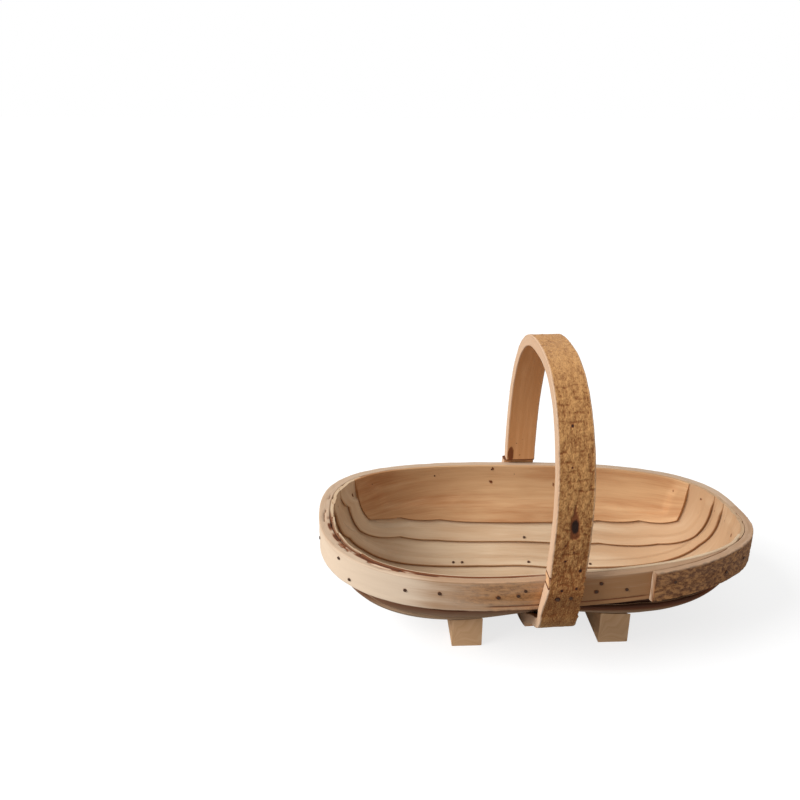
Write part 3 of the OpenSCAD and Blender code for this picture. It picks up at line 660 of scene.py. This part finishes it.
share = np.sin(np.radians(np.linspace(-SIDE_REACH, SIDE_REACH, 260)))[:, None]
share = share / math.sin(math.radians(SIDE_REACH))
v = np.sin(np.radians(90 * np.clip(0.004 + 0.992 * b + 0.004 * nb, 0, 1)))
for seed, (node, side) in enumerate([("side_board_front", -1), ("side_board_back", 1)]):
    s_low = np.abs(share) * np.where(share < 0, *SIDE_FOOT)
    q_low = seam("a", s_low) / HALF_WIDE
    p_low = end_share(s_low, q_low)
    n = square(p_low)
    p_high = np.abs(share) * np.where(share < 0, *SIDE_HEAD)
    q_high = (1 - np.abs(p_high) ** n) ** (1 / n)
    p, q = p_low + (p_high - p_low) * v, q_low + (q_high - q_low) * v
    p = p * (1 - LEFT_DRAW * np.sin(np.pi * v) * (share < 0))
    reach = np.clip(1 - q ** square(p), 1e-6, None) ** (1 / square(p))
    up = q * HALF_WIDE - seam("a", np.clip(p / reach, -1, 1))
    inset = ease(1 - (up - BOARD_LAP - 0.5) / BOARD_BEND)
    paint = warm_wood if side > 0 else board_wood
    lay_board(node, 30 + seed, side, p, q, inset, -0.08, paint)

# Feet: two square bars 24 mm wide across the hull's underside, their tops cut to its curve. Their
# wood is paler than the boards' and shows no torn face.
FOOT_LONG, FOOT_WIDE, FOOT_X = 113.0, 24.0, {"foot_left": -58.5, "foot_right": 59.4}
foot_wood = wood("foot_wood", (246, 206, 162), (212, 162, 116), (180, 140, 96))
stations = np.linspace(-FOOT_LONG / 2, FOOT_LONG / 2, 90)[:, None]
a, b, na, nb = rounded(16, 14, 3)
r = 0.7
for node, foot_x in FOOT_X.items():
    x = foot_x + (2 * a - 1) * (FOOT_WIDE / 2 - r) + r * na + 0 * stations
    y = stations + 0 * x
    squeeze = 1 - PINCH * np.exp(-((x / PINCH_REACH) ** 2))
    q = (y - SKEW * x) / ((HALF_WIDE + FIT) * squeeze)
    top = hull(x / (half_long(x) + FIT), q, -FIT)[..., 2]
    z = r * (1 - b) + (top - r) * b + r * nb
    points = np.stack([x, y, z], -1)
    marks = {"tone": 0.1 * noise(y / 30, z / 8, 41), "dark": 0 * x, "edge": 0 * x}
    piece = strip(node + "_wood", points, marks, [node])
    piece.data.materials.append(foot_wood)

# Nails: the solids' own round heads and shanks, in eleven groups through the rim, the handle, the
# boards and the feet. Their steel is dull and dark brown.
steel = bpy.data.materials.new("nail_steel")
steel.use_nodes = True
nail_shader = steel.node_tree.nodes["Principled BSDF"]
nail_shader.inputs["Base Color"].default_value = (*srgb(84, 58, 42), 1)
nail_shader.inputs["Metallic"].default_value = 0.5
nail_shader.inputs["Roughness"].default_value = 0.55
for node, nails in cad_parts.items():
    if "nails" in node:
        nails.data.materials.clear()
        nails.data.materials.append(steel)

# Floor, light and camera: a white floor that keeps the shadow, one broad lamp high on the left
# and in front, and an even white surround. The floor's glow is seen by the camera alone.
FLOOR_GREY, FLOOR_GLOW, SURROUND = 0.35, 0.75, 0.44
KEY_ENERGY, KEY_ANGLE, KEY_TILT, KEY_TURN = 3.1, 36, 54, -74
CAMERA_AT, YAW, PITCH, ROLL = (-0.14045, -0.59432, 0.42133), 2.930, 21.32, 0.367
FOCAL_PIXELS, PICTURE_PIXELS, SENSOR = 823.94, 800, 36
floor_mesh = bpy.data.meshes.new("floor")
floor_mesh.from_pydata([(-9, -9, 0), (9, -9, 0), (9, 9, 0), (-9, 9, 0)], [], [(0, 1, 2, 3)])
floor = bpy.data.objects.new("floor", floor_mesh)
bpy.context.scene.collection.objects.link(floor)
floor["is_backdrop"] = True
floor_paint = bpy.data.materials.new("floor")
floor_paint.use_nodes = True
floor_shader = floor_paint.node_tree.nodes["Principled BSDF"]
floor_shader.inputs["Base Color"].default_value = (*[FLOOR_GREY] * 3, 1)
glow = Val(floor_paint.node_tree, None)
glow = glow.node("ShaderNodeLightPath", {}).mix((0, 0, 0), [FLOOR_GLOW] * 3)
floor_paint.node_tree.links.new(glow.socket, floor_shader.inputs["Emission Color"])
floor_shader.inputs["Emission Strength"].default_value = 1.0
floor_shader.inputs["Roughness"].default_value = 1.0
floor_shader.inputs["Specular IOR Level"].default_value = 0.0
floor_mesh.materials.append(floor_paint)

world = bpy.data.worlds.new("surround")
bpy.context.scene.world = world
world.use_nodes = True
back = world.node_tree.nodes["Background"]
sky = Val(world.node_tree, None)
path = lambda output: sky.node("ShaderNodeLightPath", {}, output)
seen = sky.math("MAXIMUM", path("Is Camera Ray"), path("Is Glossy Ray"))
seen = sky.math("MAXIMUM", seen, path("Is Transmission Ray"))
world.node_tree.links.new(seen.mix([SURROUND] * 3, (1, 1, 1)).socket, back.inputs["Color"])
back.inputs["Strength"].default_value = 1.0

sun = bpy.data.lights.new("key", "SUN")
sun.energy, sun.angle = KEY_ENERGY, math.radians(KEY_ANGLE)
key = bpy.data.objects.new("key", sun)
key.rotation_euler = (math.radians(KEY_TILT), 0, math.radians(KEY_TURN))
bpy.context.scene.collection.objects.link(key)

camera_data = bpy.data.cameras.new("camera")
camera_data.sensor_width = SENSOR
camera_data.lens = SENSOR * FOCAL_PIXELS / PICTURE_PIXELS
camera = bpy.data.objects.new("camera", camera_data)
bpy.context.scene.collection.objects.link(camera)
camera.location = CAMERA_AT
yaw, pitch, roll = math.radians(YAW), math.radians(PITCH), math.radians(ROLL)
level_ahead = np.array([math.sin(yaw), math.cos(yaw), 0])
ahead = level_ahead * math.cos(pitch) - np.array([0, 0, math.sin(pitch)])
flat_right = np.array([math.cos(yaw), -math.sin(yaw), 0])
lift_up = np.cross(flat_right, ahead)
cam_right = flat_right * math.cos(roll) + lift_up * math.sin(roll)
cam_up = lift_up * math.cos(roll) - flat_right * math.sin(roll)
camera.rotation_euler = Matrix(np.stack([cam_right, cam_up, -ahead], -1).tolist()).to_euler()
bpy.context.scene.camera = camera
bpy.context.scene.view_settings.view_transform = "Standard"

both = [cad_bounds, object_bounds()]
[[list(map(float, corner)) for corner in box] for box in both]
